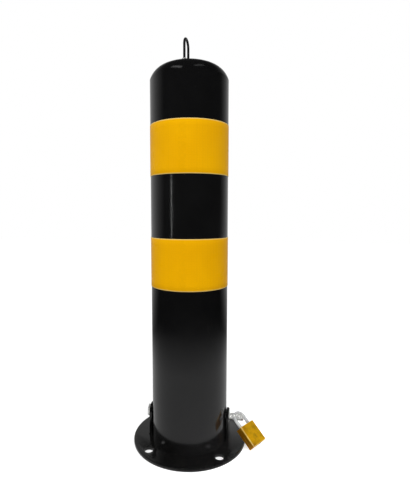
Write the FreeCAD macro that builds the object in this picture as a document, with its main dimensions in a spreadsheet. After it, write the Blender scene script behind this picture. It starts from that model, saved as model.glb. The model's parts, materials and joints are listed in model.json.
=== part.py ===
import FreeCAD, Part
import Sketcher
import math
import os
import re

# Removable bollard: a domed steel column on a bolted base plate, held by a cross pin and a padlock.
# Millimetres. +Z is up, the origin is the centre of the base plate's underside, the pin lies along X.

SIZES = {
    # base plate and its anchor holes
    "plate_radius": 86.0,
    "plate_thick": 4.0,
    "plate_round": 1.2,
    "anchor_inset": 13.0,
    "anchor_hole": 13.0,
    "anchor_count": 4,
    "anchor_turn": 45.0,
    # column
    "tube_radius": 57.0,
    "tube_wall": 3.0,
    "tube_length": 533.0,
    "cap_knuckle": 29.5,
    "cap_crown": 106.0,
    "cap_crease": 18.6,
    # reflective bands, measured from the foot of the column
    "band_width": 72.4,
    "band_film": 0.4,
    "band_gap": 0.05,
    "lower_band_rise": 236.1,
    "upper_band_rise": 396.8,
    # ring that centres the column on the plate
    "ring_wall": 3.0,
    "ring_height": 18.0,
    "ring_clearance": 1.5,
    # upright ears beside the column
    "ear_thick": 4.0,
    "ear_width": 25.0,
    "ear_height": 46.0,
    "ear_gap": 0.4,
    # cross pin
    "pin_radius": 5.0,
    "pin_rise": 33.5,
    "pin_head_flats": 16.0,
    "pin_head_thick": 3.7,
    "pin_head_gap": 0.2,
    "pin_end_chamfer": 1.0,
    "pin_reach": 21.6,
    "lock_hole_reach": 9.2,
    "lock_hole": 7.6,
    "ear_hole_clearance": 0.5,
    "column_hole_clearance": 1.5,
    # lifting loop and its fasteners
    "loop_rod": 3.6,
    "loop_thread": 4.0,
    "loop_pitch": 20.0,
    "loop_rise": 36.0,
    "loop_offset": -4.4,
    "loop_turn": 84.0,
    "loop_hole_clearance": 0.3,
    "washer_radius": 4.5,
    "washer_thick": 0.8,
    "nut_flats": 7.0,
    "nut_height": 3.2,
    "nut_bore_clearance": 0.05,
    "seat_gap": 0.1,
    "thread_end": 3.0,
    # padlock
    "case_width": 30.0,
    "case_height": 31.6,
    "case_depth": 13.0,
    "case_round": 2.0,
    "case_edge": 0.7,
    "shackle_rod": 5.0,
    "shackle_pitch": 19.0,
    "shackle_straight": 11.3,
    "shackle_clearance": 0.3,
    "toe_depth": 9.0,
    "heel_depth": 22.0,
    "heel_spring_room": 4.0,
    "lock_yaw": 54.9,
    "lock_lean": 51.5,
    "bow_shift": 0.9,
    # padlock works
    "plug_radius": 4.2,
    "plug_top": 9.8,
    "plug_recess": 0.4,
    "plug_clearance": 0.05,
    "keyway_width": 1.6,
    "keyway_reach": 2.9,
    "keyway_depth": 18.0,
    "nib_radius": 0.9,
    "nib_offset": 1.4142,
    "latch_top": 5.2,
    "latch_height": 2.6,
    "latch_width": 7.0,
    "latch_back": 3.0,
    "latch_tip_gap": 0.25,
    "latch_clearance": 0.3,
    "latch_spring_room": 2.4,
    "notch_depth": 1.9,
    "cut_overrun": 1.0,
    # pins that hold the shackle and the plug in the case
    "shackle_lift": 9.5,
    "cross_pin_start": 5.0,
    "cross_pin_recess": 0.3,
    "cross_pin_clearance": 0.05,
    "stop_pin_radius": 1.0,
    "stop_pin_drop": 9.6,
    "stop_pin_offset": 2.9,
    "neck_radius": 1.6,
    "plug_pin_radius": 0.9,
    "plug_pin_drop": 27.4,
    "plug_pin_offset": 4.4,
    "plug_groove_radius": 3.2,
    # tumblers
    "tumbler_count": 4,
    "tumbler_first": 14.0,
    "tumbler_pitch": 3.5,
    "tumbler_radius": 1.0,
    "tumbler_clearance": 0.08,
    "shear_gap": 0.15,
    "key_pin_long": 2.8,
    "key_pin_short": 2.0,
    "driver_length": 2.6,
    "chamber_plug_length": 1.9,
    "chamber_plug_recess": 0.2,
    # springs, at their fitted length
    "tumbler_spring_coil": 0.7,
    "tumbler_spring_wire": 0.18,
    "tumbler_spring_turns": 6,
    "heel_spring_coil": 1.9,
    "heel_spring_wire": 0.35,
    "heel_spring_turns": 3,
    "latch_spring_coil": 0.9,
    "latch_spring_wire": 0.2,
    "latch_spring_turns": 3,
    "spring_end_gap": 0.15,
}

doc = FreeCAD.newDocument("RemovableBollard")
EXPORTS = []


def fill_sheet():
    """Write every driving dimension into one spreadsheet, each cell with its alias."""
    sheet = doc.addObject("Spreadsheet::Sheet", "Sizes")
    for row, (alias, size) in enumerate(SIZES.items(), start=1):
        sheet.set(f"A{row}", alias.replace("_", " "))
        sheet.set(f"B{row}", str(size))
        sheet.setAlias(f"B{row}", alias)
    doc.recompute()
    return sheet


sheet = fill_sheet()


def link(formula):
    """Point every size name in a formula at its cell in the sheet."""
    return re.sub(r"[a-z_]+", lambda m: "Sizes." + m.group() if m.group() in SIZES else m.group(), formula)


def size(formula):
    """The present value of a formula of size names."""
    return float(sheet.evalExpression(link(formula)))


def new_body(label):
    """An empty body that becomes one exported sub-part."""
    body = doc.addObject("PartDesign::Body", label)
    body.Label = label
    EXPORTS.append(body)
    return body


def export_group(label, solids):
    """Several like solids as one exported sub-part."""
    group = doc.addObject("Part::Compound", label)
    group.Links = solids
    group.Label = label
    EXPORTS.append(group)


def origin_feature(body, role):
    """One of a body's own origin planes or axes."""
    return next(f for f in body.Origin.OriginFeatures if f.Role == role)


def new_sketch(body, role, name):
    """A sketch on one of the body's origin planes."""
    sketch = body.newObject("Sketcher::SketchObject", name)
    sketch.AttachmentSupport = [(origin_feature(body, role), "")]
    sketch.MapMode = "FlatFace"
    return sketch


def bind(sketch, kind, targets, formula):
    """Add one dimension to a sketch and tie it to the sheet."""
    index = sketch.addConstraint(Sketcher.Constraint(kind, *targets, size(formula)))
    sketch.setExpression(f"Constraints[{index}]", link(formula))


def place_point(sketch, geometry, end, across, along):
    """Hold one point of a sketch at a place measured from the sketch's origin."""
    bind(sketch, "DistanceX", (-1, 1, geometry, end), across)
    bind(sketch, "DistanceY", (-1, 1, geometry, end), along)


def add_circle(sketch, radius, across="0", along="0"):
    """A circle whose radius and centre are formulas of the sizes."""
    centre = FreeCAD.Vector(size(across), size(along), 0)
    index = sketch.addGeometry(Part.Circle(centre, FreeCAD.Vector(0, 0, 1), size(radius)), False)
    bind(sketch, "Radius", (index,), radius)
    place_point(sketch, index, 3, across, along)
    return index


def arc_between(start, end, radius, side):
    """The arc of a radius from start to end that bulges to the left (side 1) or right (side -1)."""
    chord = end - start
    normal = FreeCAD.Vector(-chord.y, chord.x, 0).normalize()
    rise = math.sqrt(max(radius ** 2 - (chord.Length / 2) ** 2, 0))
    centre = start + chord * 0.5 - normal * (side * rise)
    first, last = (end, start) if side > 0 else (start, end)
    angles = [math.atan2(point.y - centre.y, point.x - centre.x) for point in (first, last)]
    if angles[1] < angles[0]:
        angles[1] += 2 * math.pi
    return Part.ArcOfCircle(Part.Circle(centre, FreeCAD.Vector(0, 0, 1), radius), *angles)


def add_outline(sketch, corners, arcs=None, closed=True):
    """A chain of lines, with arcs for the numbered sides: {side: (radius formula, bulge)}."""
    arcs = arcs or {}
    points = [FreeCAD.Vector(size(x), size(y), 0) for x, y in corners]
    sides = len(points) if closed else len(points) - 1
    made = []
    for i in range(sides):
        start, end = points[i], points[(i + 1) % len(points)]
        if i in arcs:
            radius, bulge = arcs[i]
            curve = arc_between(start, end, size(radius), bulge)
        else:
            curve = Part.LineSegment(start, end)
        index = sketch.addGeometry(curve, False)
        flipped = i in arcs and arcs[i][1] > 0
        made.append((index, 2 if flipped else 1, 1 if flipped else 2))
    for i in range(sides if closed else sides - 1):
        index, _, tail = made[i]
        follower, head, _ = made[(i + 1) % len(made)]
        sketch.addConstraint(Sketcher.Constraint("Coincident", index, tail, follower, head))
    for (index, head, _), (x, y) in zip(made, corners):
        place_point(sketch, index, head, x, y)
    if not closed:
        place_point(sketch, made[-1][0], made[-1][2], *corners[-1])
    for i, (radius, _) in arcs.items():
        bind(sketch, "Radius", (made[i][0],), radius)


def pad(body, sketch, name, length, reverse=False, middle=False):
    """Extrude a sketch by a formula of the sizes."""
    feature = body.newObject("PartDesign::Pad", name)
    feature.Profile = sketch
    feature.setExpression("Length", link(length))
    feature.Reversed = reverse
    feature.Midplane = middle
    sketch.Visibility = False
    return feature


def pocket(body, sketch, name, length=None, reverse=False, middle=False):
    """Cut a sketch by a length, or right through, and confirm that it removed material."""
    doc.recompute()
    before = body.Shape.Volume
    feature = body.newObject("PartDesign::Pocket", name)
    feature.Profile = sketch
    if length is None:
        feature.Type = "ThroughAll"
    else:
        feature.setExpression("Length", link(length))
    feature.Reversed = reverse
    feature.Midplane = middle
    doc.recompute()
    if body.Shape.Volume > before - 1e-3:
        raise ValueError(f"{name} cuts nothing")
    return feature


def turn(body, sketch, name, axis="V_Axis", cut=False):
    """Revolve a sketch a full turn about one of its own axes, as material or as a cut."""
    feature = body.newObject("PartDesign::Groove" if cut else "PartDesign::Revolution", name)
    feature.Profile = sketch
    feature.ReferenceAxis = (sketch, [axis])
    feature.Angle = 360.0
    return feature


def edge_names(shape, test):
    """The names of the edges that a test picks."""
    return [f"Edge{i}" for i, edge in enumerate(shape.Edges, start=1) if test(edge)]


def dress(body, kind, name, test, amount):
    """Fillet or chamfer the edges that a test picks on the body's tip."""
    doc.recompute()
    base = body.Tip
    feature = body.newObject(f"PartDesign::{kind}", name)
    feature.Base = (base, edge_names(base.Shape, test))
    feature.setExpression("Radius" if kind == "Fillet" else "Size", link(amount))
    return feature


def lift(body, formula):
    """Raise a sub-part to its height in the assembly."""
    body.setExpression("Placement.Base.z", link(formula))


def is_level(edge, height):
    """Whether an edge lies wholly at one height."""
    box = edge.BoundBox
    return abs(box.ZMin - height) < 1e-4 and abs(box.ZMax - height) < 1e-4


def make_base_plate():
    """Round plate with a softened upper rim and anchor holes on one circle."""
    body = new_body("base_plate")
    disc = new_sketch(body, "XY_Plane", "plate_disc")
    add_circle(disc, "plate_radius")
    pad(body, disc, "plate_pad", "plate_thick")
    top = size("plate_thick")
    dress(body, "Fillet", "plate_rim", lambda e: is_level(e, top), "plate_round")
    drill = new_sketch(body, "XY_Plane", "anchor_sketch")
    reach = "(plate_radius - anchor_inset)"
    add_circle(drill, "anchor_hole / 2", f"{reach} * cos(anchor_turn)", f"{reach} * sin(anchor_turn)")
    hole = pocket(body, drill, "anchor_pocket", reverse=True)
    pattern = body.newObject("PartDesign::PolarPattern", "anchor_pattern")
    pattern.Originals = [hole]
    pattern.Axis = (origin_feature(body, "Z_Axis"), [""])
    pattern.Angle = 360.0
    pattern.setExpression("Occurrences", link("anchor_count"))
    body.Tip = pattern


def make_locating_ring():
    """Low ring welded on the plate, inside the foot of the column."""
    body = new_body("locating_ring")
    section = new_sketch(body, "XY_Plane", "ring_section")
    outer = "tube_radius - tube_wall - ring_clearance"
    add_circle(section, outer)
    add_circle(section, f"{outer} - ring_wall")
    pad(body, section, "ring_pad", "ring_height")
    top = size("ring_height")
    dress(body, "Chamfer", "ring_lead", lambda e: is_level(e, top), "ring_clearance / 2")
    lift(body, "plate_thick")


def make_ear(label, offset):
    """Flat ear with a round head, standing on the plate, with the pin's hole."""
    body = new_body(label)
    profile = new_sketch(body, "YZ_Plane", f"{label}_profile")
    half = "ear_width / 2"
    shoulder = f"ear_height - {half}"
    corners = [(f"-{half}", "0"), (half, "0"), (half, shoulder), ("0", "ear_height"), (f"-{half}", shoulder)]
    add_outline(profile, corners, {2: (half, -1), 3: (half, -1)})
    add_circle(profile, "pin_radius + ear_hole_clearance", "0", "pin_rise")
    pad(body, profile, f"{label}_pad", "ear_thick")
    body.setExpression("Placement.Base.x", link(offset))
    lift(body, "plate_thick")


def make_column_tube():
    """Round tube with the pin's holes near its foot."""
    body = new_body("column_tube")
    section = new_sketch(body, "XY_Plane", "tube_section")
    add_circle(section, "tube_radius")
    add_circle(section, "tube_radius - tube_wall")
    pad(body, section, "tube_pad", "tube_length")
    drill = new_sketch(body, "YZ_Plane", "tube_pin_sketch")
    add_circle(drill, "pin_radius + column_hole_clearance", "0", "pin_rise")
    pocket(body, drill, "tube_pin_holes", middle=True)
    lift(body, "plate_thick")


# The cap's wall is one thickness all round: a knuckle that meets the tube at a slight crease, then a flatter crown.
KNUCKLE_REACH = "(tube_radius - cap_knuckle * cos(cap_crease))"
KNUCKLE_DROP = "(cap_knuckle * sin(cap_crease))"
CROWN_SINE = f"({KNUCKLE_REACH} / (cap_crown - cap_knuckle))"
CROWN_COSINE = f"sqrt(1 - {CROWN_SINE} * {CROWN_SINE})"
CAP_RISE = f"(cap_crown - (cap_crown - cap_knuckle) * {CROWN_COSINE} - {KNUCKLE_DROP})"
COLUMN_TOP = "(plate_thick + tube_length)"


def crown_height(across, inset="0"):
    """Height of the cap's crown above the tube, at a distance from the axis, less a depth below the skin."""
    radius = f"(cap_crown - {inset})"
    return f"({CAP_RISE} - cap_crown + sqrt({radius} * {radius} - {across} * {across}))"


def make_dome_cap():
    """Pressed cap of even wall, with two holes for the lifting loop."""
    body = new_body("dome_cap")
    profile = new_sketch(body, "XZ_Plane", "cap_profile")
    bend = "(cap_knuckle - tube_wall)"
    inner = f"({KNUCKLE_REACH} + sqrt({bend} * {bend} - {KNUCKLE_DROP} * {KNUCKLE_DROP}))"
    outer_knee = (f"cap_crown * {CROWN_SINE}", f"cap_knuckle * {CROWN_COSINE} - {KNUCKLE_DROP}")
    inner_knee = (f"(cap_crown - tube_wall) * {CROWN_SINE}", f"{bend} * {CROWN_COSINE} - {KNUCKLE_DROP}")
    corners = [("tube_radius", "0"), outer_knee, ("0", CAP_RISE), ("0", f"{CAP_RISE} - tube_wall"),
               inner_knee, (inner, "0")]
    arcs = {0: ("cap_knuckle", -1), 1: ("cap_crown", -1), 3: ("cap_crown - tube_wall", 1),
            4: (bend, 1)}
    add_outline(profile, corners, arcs)
    turn(body, profile, "cap_turn")
    drill = new_sketch(body, "XY_Plane", "cap_drill")
    for x, y in LOOP_FEET:
        add_circle(drill, "loop_thread / 2 + loop_hole_clearance", x, y)
    pocket(body, drill, "cap_loop_holes", reverse=True)
    lift(body, COLUMN_TOP)


LOOP_FEET = [(f"loop_offset + {side} * loop_pitch / 2 * cos(loop_turn)", f"{side} * loop_pitch / 2 * sin(loop_turn)")
             for side in (-1, 1)]
FOOT_SPREAD = "loop_offset * loop_offset + loop_pitch * loop_pitch / 4"
FOOT_SKEW = "abs(loop_offset) * loop_pitch * cos(loop_turn)"
NEAR_FOOT = f"(sqrt({FOOT_SPREAD} - {FOOT_SKEW}) - washer_radius)"
FAR_FOOT = f"(sqrt({FOOT_SPREAD} + {FOOT_SKEW}) + washer_radius)"
OUTER_SEAT = f"({COLUMN_TOP} + {crown_height(NEAR_FOOT)} + seat_gap)"
INNER_SEAT = f"({COLUMN_TOP} + {crown_height(FAR_FOOT, 'tube_wall')} - seat_gap)"


def make_band(label, rise):
    """Reflective film wrapped once round the tube."""
    body = new_body(label)
    section = new_sketch(body, "XY_Plane", f"{label}_section")
    add_circle(section, "tube_radius + band_gap + band_film")
    add_circle(section, "tube_radius + band_gap")
    pad(body, section, f"{label}_pad", "band_width")
    lift(body, f"plate_thick + {rise}")


def make_lifting_loop():
    """Bent rod with threaded legs that pass through the cap."""
    body = new_body("lifting_loop")
    leg_foot = f"({INNER_SEAT} - washer_thick - nut_height - thread_end - {COLUMN_TOP})"
    bow_base = f"({CAP_RISE} + loop_rise - loop_rod / 2 - loop_pitch / 2)"
    thread_top = f"({OUTER_SEAT} + washer_thick + nut_height + thread_end / 2 - {COLUMN_TOP})"
    path = new_sketch(body, "XZ_Plane", "loop_path")
    half = "loop_pitch / 2"
    length = f"({bow_base} - {leg_foot})"
    corners = [(f"-{half}", "0"), (f"-{half}", length), ("0", f"{length} + {half}"), (half, length), (half, "0")]
    add_outline(path, corners, {1: (half, 1), 2: (half, 1)}, closed=False)
    section = new_sketch(body, "XY_Plane", "loop_section")
    add_circle(section, "loop_rod / 2", f"-{half}")
    pipe = body.newObject("PartDesign::AdditivePipe", "loop_bend")
    pipe.Profile = section
    pipe.Spine = path
    threads = new_sketch(body, "XY_Plane", "loop_threads")
    for side in ("-", ""):
        add_circle(threads, "loop_thread / 2", f"{side}{half}")
    pad(body, threads, "loop_thread_pad", f"{thread_top} - {leg_foot}")
    body.Placement.Rotation = FreeCAD.Rotation(FreeCAD.Vector(0, 0, 1), size("loop_turn"))
    body.setExpression("Placement.Base.x", link("loop_offset"))
    lift(body, f"{COLUMN_TOP} + {leg_foot}")


def make_ringed(label, kind, outer, height, bore, places, seat):
    """A group of like washers or nuts, one at each place, all at one seat height."""
    solids = []
    for i, (x, y) in enumerate(places):
        blank = doc.addObject(f"Part::{kind}", f"{label}_blank_{i}")
        blank.setExpression("Height", link(height))
        blank.setExpression("Circumradius" if kind == "Prism" else "Radius", link(outer))
        hole = doc.addObject("Part::Cylinder", f"{label}_bore_{i}")
        hole.setExpression("Height", link(height))
        hole.setExpression("Radius", link(bore))
        solid = doc.addObject("Part::Cut", f"{label}_{i}")
        solid.Base = blank
        solid.Tool = hole
        solid.setExpression("Placement.Base.x", link(x))
        solid.setExpression("Placement.Base.y", link(y))
        lift(solid, seat)
        solids.append(solid)
    export_group(label, solids)


def make_loop_fasteners():
    """Washers and nuts that clamp the cap from outside and inside."""
    bore = "loop_thread / 2 + nut_bore_clearance"
    corner = "nut_flats / sqrt(3)"
    washer_bore = "loop_thread / 2 + loop_hole_clearance"
    make_ringed("loop_washers_outer", "Cylinder", "washer_radius", "washer_thick", washer_bore, LOOP_FEET, OUTER_SEAT)
    make_ringed("loop_nuts_outer", "Prism", corner, "nut_height", bore, LOOP_FEET, f"{OUTER_SEAT} + washer_thick")
    low_washer = f"{INNER_SEAT} - washer_thick"
    make_ringed("loop_washers_inner", "Cylinder", "washer_radius", "washer_thick", washer_bore, LOOP_FEET, low_washer)
    make_ringed("loop_nuts_inner", "Prism", corner, "nut_height", bore, LOOP_FEET, f"{low_washer} - nut_height")


EAR_FACE = "(tube_radius + ear_gap + ear_thick)"
PIN_HEIGHT = "(plate_thick + pin_rise)"
LOCK_HOLE_X = f"({EAR_FACE} + lock_hole_reach)"


def make_locking_pin():
    """Round bar with a hexagon head at one end and a cross hole for the shackle at the other."""
    body = new_body("locking_pin")
    profile = new_sketch(body, "XY_Plane", "pin_profile")
    face = f"-({EAR_FACE} + pin_head_gap)"
    end = f"({EAR_FACE} + pin_reach)"
    corners = [(face, "0"), (end, "0"), (end, "pin_radius - pin_end_chamfer"),
               (f"{end} - pin_end_chamfer", "pin_radius"), (face, "pin_radius")]
    add_outline(profile, corners)
    turn(body, profile, "pin_turn", axis="H_Axis")
    hexagon = new_sketch(body, "YZ_Plane", "pin_head_profile")
    corner, flat = "pin_head_flats / sqrt(3)", "pin_head_flats / 2"
    add_outline(hexagon, [("0", corner), (f"-{flat}", f"{corner} / 2"), (f"-{flat}", f"-{corner} / 2"),
                          ("0", f"-{corner}"), (flat, f"-{corner} / 2"), (flat, f"{corner} / 2")])
    hexagon.setExpression("AttachmentOffset.Base.z", link(f"{face} - pin_head_thick"))
    pad(body, hexagon, "pin_head", "pin_head_thick")
    drill = new_sketch(body, "XY_Plane", "pin_drill")
    add_circle(drill, "lock_hole / 2", LOCK_HOLE_X)
    pocket(body, drill, "pin_cross_hole", middle=True)
    across = lock_bow_tangent()
    roll = math.degrees(math.atan2(-across.y, across.z))
    body.Placement.Rotation = FreeCAD.Rotation(FreeCAD.Vector(1, 0, 0), roll)
    lift(body, PIN_HEIGHT)


def lock_rotation():
    """The padlock leans back on the ground, its width level and turned a little off the pin."""
    yaw = FreeCAD.Rotation(FreeCAD.Vector(0, 0, 1), size("lock_yaw"))
    lean = FreeCAD.Rotation(FreeCAD.Vector(1, 0, 0), -size("lock_lean"))
    return yaw.multiply(lean)


def lock_bow_tangent():
    """Direction of the shackle's bow where it runs through the pin: in the bow's plane and square to the pin."""
    width = lock_rotation().multVec(FreeCAD.Vector(1, 0, 0))
    upward = lock_rotation().multVec(FreeCAD.Vector(0, 0, 1))
    return (width * -upward.x + upward * width.x).normalize()


def lock_placement():
    """Frame of the padlock, at the middle of its case's top face: the bow runs through the pin's cross hole."""
    rotation = lock_rotation()
    backward = rotation.multVec(FreeCAD.Vector(0, 1, 0))
    inward = backward.cross(lock_bow_tangent()).normalize()
    if inward.x < 0:
        inward = inward * -1
    hole = FreeCAD.Vector(size(LOCK_HOLE_X), 0, size(PIN_HEIGHT))
    bow_centre = hole + inward * size("shackle_pitch / 2 - bow_shift")
    drop = rotation.multVec(FreeCAD.Vector(0, 0, -size("shackle_straight")))
    return FreeCAD.Placement(bow_centre + drop, rotation)


def seat_in_lock(body, depth="0", across="0"):
    """Put a sub-part into the padlock's frame, at a depth below the case's top and a place across it."""
    inside = FreeCAD.Placement(FreeCAD.Vector(size(across), 0, -size(depth)), FreeCAD.Rotation())
    body.Placement = lock_placement().multiply(inside)


STOP_PIN_X = "(shackle_pitch / 2 + stop_pin_offset)"
OUTWARD = (-1, 0, 0)


def make_padlock_case():
    """Solid brass block, bored for the shackle, the plug and the latch."""
    body = new_body("padlock_case")
    plan = new_sketch(body, "XY_Plane", "case_plan")
    wide, deep = "case_width / 2", "case_depth / 2"
    add_outline(plan, [(f"-{wide}", f"-{deep}"), (wide, f"-{deep}"), (wide, deep), (f"-{wide}", deep)])
    pad(body, plan, "case_block", "case_height", reverse=True)
    height = size("case_height")
    foot = -height
    dress(body, "Fillet", "case_corners", lambda e: abs(e.BoundBox.ZLength - height) < 1e-4, "case_round")
    dress(body, "Fillet", "case_edges", lambda e: is_level(e, 0) or is_level(e, foot), "case_edge")
    toe = new_sketch(body, "XY_Plane", "toe_bore_sketch")
    add_circle(toe, "shackle_rod / 2 + shackle_clearance", "-shackle_pitch / 2")
    pocket(body, toe, "toe_bore", "toe_depth + shackle_clearance")
    heel = new_sketch(body, "XY_Plane", "heel_bore_sketch")
    add_circle(heel, "shackle_rod / 2 + shackle_clearance", "shackle_pitch / 2")
    pocket(body, heel, "heel_bore", "heel_depth + heel_spring_room")
    bore = new_sketch(body, "XZ_Plane", "plug_bore_profile")
    top = "-(plug_top - latch_clearance)"
    roof = "-(latch_top + latch_height)"
    wide = "plug_radius + plug_clearance"
    narrow = "nib_offset + nib_radius + latch_clearance"
    add_outline(bore, [("0", "-case_height"), (wide, "-case_height"), (wide, top), (narrow, top), (narrow, roof),
                       ("0", roof)])
    turn(body, bore, "plug_bore", cut=True)
    room = new_sketch(body, "XZ_Plane", "latch_room_profile")
    left = "-shackle_pitch / 2"
    right = "latch_back + latch_spring_room"
    ceiling = "-(latch_top - latch_clearance)"
    floor = "-(latch_top + latch_height + latch_clearance)"
    add_outline(room, [(left, floor), (right, floor), (right, ceiling), (left, ceiling)])
    pocket(body, room, "latch_room", "latch_width + 2 * latch_clearance", middle=True)
    chambers = new_sketch(body, "YZ_Plane", "chamber_sketch")
    for drop in chamber_drops():
        add_circle(chambers, "tumbler_radius + tumbler_clearance", "0", f"-{drop}")
    pocket(body, chambers, "chambers")
    holes = new_sketch(body, "XZ_Plane", "cross_pin_sketch")
    add_circle(holes, "stop_pin_radius + cross_pin_clearance", STOP_PIN_X, "-stop_pin_drop")
    add_circle(holes, "plug_pin_radius + cross_pin_clearance", "plug_pin_offset", "-plug_pin_drop")
    holes.setExpression("AttachmentOffset.Base.z", link("cross_pin_start"))
    pocket(body, holes, "cross_pin_holes")
    seat_in_lock(body)


def make_padlock_shackle():
    """Bent steel rod with a short notched toe leg and a long heel leg."""
    body = new_body("padlock_shackle")
    half = "shackle_pitch / 2"
    rise = "(toe_depth + shackle_straight)"
    path = new_sketch(body, "XZ_Plane", "shackle_path")
    corners = [(f"-{half}", "0"), (f"-{half}", rise), ("0", f"{rise} + {half}"), (half, rise),
               (half, "toe_depth - heel_depth")]
    add_outline(path, corners, {1: (half, 1), 2: (half, 1)}, closed=False)
    section = new_sketch(body, "XY_Plane", "shackle_section")
    add_circle(section, "shackle_rod / 2", f"-{half}")
    pipe = body.newObject("PartDesign::AdditivePipe", "shackle_bend")
    pipe.Profile = section
    pipe.Spine = path
    notch = new_sketch(body, "XZ_Plane", "shackle_notch_profile")
    face = f"-{half} + shackle_rod / 2"
    low = "toe_depth - latch_top - latch_height - latch_clearance"
    high = "toe_depth - latch_top + latch_clearance"
    root, past = f"{face} - notch_depth", f"{face} + cut_overrun"
    add_outline(notch, [(root, low), (past, low), (past, high), (root, high)])
    pocket(body, notch, "shackle_notch", "shackle_rod + cut_overrun", middle=True)
    neck = new_sketch(body, "XY_Plane", "shackle_neck_sketch")
    add_circle(neck, "shackle_rod / 2 + cut_overrun", half)
    add_circle(neck, "neck_radius", half)
    play = "(stop_pin_radius + shackle_clearance)"
    neck.setExpression("AttachmentOffset.Base.z", link(f"toe_depth - stop_pin_drop + {play}"))
    pocket(body, neck, "shackle_neck", f"shackle_lift + 2 * {play}")
    seat_in_lock(body, "toe_depth")


KEY_PIN_TIP = "(plug_radius - shear_gap - key_pin_long)"


def make_padlock_plug():
    """Key plug with its keyway and the off-centre nib that drives the latch."""
    body = new_body("padlock_plug")
    disc = new_sketch(body, "XY_Plane", "plug_disc")
    add_circle(disc, "plug_radius")
    pad(body, disc, "plug_bar", "case_height - plug_top - plug_recess", reverse=True)
    nib = new_sketch(body, "XY_Plane", "plug_nib_sketch")
    add_circle(nib, "nib_radius", "nib_offset * cos(45)", "-nib_offset * sin(45)")
    pad(body, nib, "plug_nib", "plug_top - latch_top")
    slot = new_sketch(body, "XZ_Plane", "keyway_profile")
    low = "-(case_height - plug_top)"
    high = f"{low} + keyway_depth"
    reach = "keyway_reach"
    add_outline(slot, [(f"-{reach}", low), (reach, low), (reach, high), (f"-{reach}", high)])
    pocket(body, slot, "keyway", "keyway_width", middle=True)
    groove = new_sketch(body, "XY_Plane", "plug_groove_sketch")
    add_circle(groove, "plug_radius + cut_overrun")
    add_circle(groove, "plug_groove_radius")
    play = "(plug_pin_radius + latch_clearance)"
    groove.setExpression("AttachmentOffset.Base.z", link(f"plug_top - plug_pin_drop + {play}"))
    pocket(body, groove, "plug_groove", f"2 * {play}")
    chambers = new_sketch(body, "YZ_Plane", "plug_chamber_sketch")
    for drop in chamber_drops():
        add_circle(chambers, "tumbler_radius + tumbler_clearance", "0", f"plug_top - {drop}")
    chambers.setExpression("AttachmentOffset.Base.z", link(f"-({KEY_PIN_TIP} - latch_clearance)"))
    pocket(body, chambers, "plug_chambers")
    seat_in_lock(body, "plug_top")


def make_padlock_latch():
    """Flat bolt that slides into the toe's notch, with a cross slot for the plug's nib."""
    body = new_body("padlock_latch")
    plan = new_sketch(body, "XY_Plane", "latch_plan")
    tip = "-(shackle_pitch / 2 - shackle_rod / 2 - shackle_clearance - latch_tip_gap)"
    side = "latch_width / 2"
    add_outline(plan, [(tip, f"-{side}"), ("latch_back", f"-{side}"), ("latch_back", side), (tip, side)])
    pad(body, plan, "latch_bar", "latch_height", reverse=True)
    slot = new_sketch(body, "XY_Plane", "latch_slot_sketch")
    play = "(nib_radius + latch_clearance)"
    middle = "nib_offset * cos(45)"
    near, far = f"-(nib_offset + {play})", f"{play} - nib_offset * sin(45)"
    add_outline(slot, [(f"{middle} - {play}", near), (f"{middle} + {play}", near), (f"{middle} + {play}", far),
                       (f"{middle} - {play}", far)])
    pocket(body, slot, "latch_slot")
    seat_in_lock(body, "latch_top")


def chamber_drops():
    """How far below the case's top each tumbler chamber lies."""
    return [f"(tumbler_first + {i} * tumbler_pitch)" for i in range(int(size("tumbler_count")))]


def in_lock(start, direction):
    """Placement at a point of the padlock's frame, with its own upward axis along a direction."""
    point = FreeCAD.Vector(*(size(part) for part in start))
    lay = FreeCAD.Rotation(FreeCAD.Vector(0, 0, 1), FreeCAD.Vector(*direction))
    return lock_placement().multiply(FreeCAD.Placement(point, lay))


def lock_bar(label, radius, length, direction, start):
    """A round bar in the padlock, from a point of its frame along one of its axes."""
    bar = doc.addObject("Part::Cylinder", label)
    bar.setExpression("Radius", link(radius))
    bar.setExpression("Height", link(length))
    bar.Placement = in_lock(start, direction)
    return bar


def make_cross_pins():
    """The pin in the heel's neck and the pin in the plug's groove, both pressed in from the back."""
    length = "case_depth / 2 + cross_pin_start - cross_pin_recess"
    for label, radius, x, drop in (("shackle_stop_pin", "stop_pin_radius", STOP_PIN_X, "stop_pin_drop"),
                                   ("plug_retaining_pin", "plug_pin_radius", "plug_pin_offset", "plug_pin_drop")):
        bar = lock_bar(label, radius, length, (0, 1, 0), (x, "-cross_pin_start", f"-{drop}"))
        bar.Label = label
        EXPORTS.append(bar)


def make_tumblers():
    """Key pins, driver pins and chamber plugs, one of each in every chamber."""
    shear = "(plug_radius - shear_gap)"
    seat = "(plug_radius + plug_clearance + shear_gap)"
    wall = "(case_width / 2 - chamber_plug_recess)"
    rows = {"key_pins": [], "driver_pins": [], "chamber_plugs": []}
    for i, drop in enumerate(chamber_drops()):
        key_length = "key_pin_long" if i % 2 == 0 else "key_pin_short"
        starts = {"key_pins": (key_length, f"{key_length} - {shear}"),
                  "driver_pins": ("driver_length", f"-{seat}"),
                  "chamber_plugs": ("chamber_plug_length", f"chamber_plug_length - {wall}")}
        for label, (length, x) in starts.items():
            rows[label].append(lock_bar(f"{label}_{i}", "tumbler_radius", length, OUTWARD, (x, "0", f"-{drop}")))
    for label, solids in rows.items():
        export_group(label, solids)


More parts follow.
